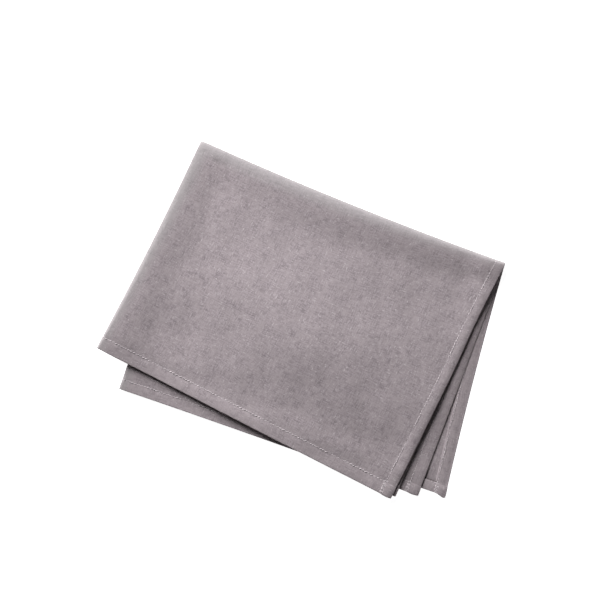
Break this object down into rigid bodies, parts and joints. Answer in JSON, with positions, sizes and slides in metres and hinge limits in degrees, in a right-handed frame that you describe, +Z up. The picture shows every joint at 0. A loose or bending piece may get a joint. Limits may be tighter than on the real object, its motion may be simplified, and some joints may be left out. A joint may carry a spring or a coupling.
{
  "type": "folded cloth napkin",
  "caption": "Plain woven cloth napkin with narrow stitched hems, folded in half and in half again, lying flat with its free corners fanned a little apart",
  "frame": {"origin": "on the surface the napkin lies on, under the middle of its folded outline", "axes": "+X along the long fold, towards the free corners; +Y from the free front edges towards the long fold; +Z up"},
  "size_m": [0.3432, 0.2366, 0.0131],
  "materials": {
    "chambray": "matt plain-weave cotton and linen cloth in mauve grey, with pale slubs and light stitching"
  },
  "bodies": {
    "root": {"napkin": "chambray"}
  },
  "joints": []
}
